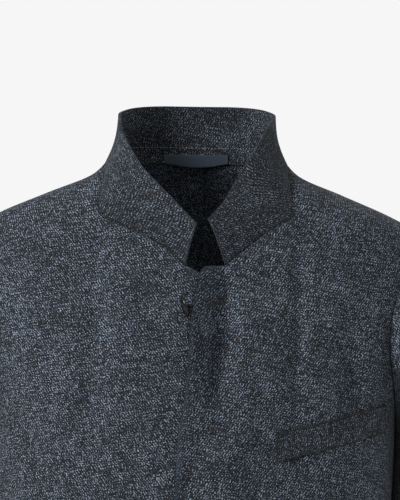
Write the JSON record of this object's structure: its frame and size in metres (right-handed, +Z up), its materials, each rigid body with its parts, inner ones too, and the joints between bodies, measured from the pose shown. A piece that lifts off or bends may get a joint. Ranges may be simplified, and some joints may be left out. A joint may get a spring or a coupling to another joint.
{
  "type": "stand collar jacket",
  "caption": "Hollow stand collar jacket in its worn shape, with long set-in sleeves, an open V neck, a concealed front closure and a slanted chest welt.",
  "frame": {"origin": "middle of the neck opening at the height where the shoulders meet the collar", "axes": "+Z up, -Y the way the wearer faces, +X towards the wearer's left"},
  "size_m": [0.608, 0.2512, 0.767],
  "materials": {
    "cloth": "slate blue twill with a light fleck, matt",
    "loop": "plain satin",
    "horn": "dark horn look, polished"
  },
  "bodies": {
    "root": {"front_right": "cloth", "front_left": "cloth", "back_right": "cloth", "back_left": "cloth", "stand_collar": "cloth", "top_sleeve_left": "cloth", "under_sleeve_left": "cloth", "top_sleeve_right": "cloth", "under_sleeve_right": "cloth", "chest_pocket_welt": "cloth", "hanger_loop": "loop", "top_button": "horn", "fly_button_1": "horn", "fly_button_2": "horn", "fly_button_3": "horn"}
  },
  "joints": []
}
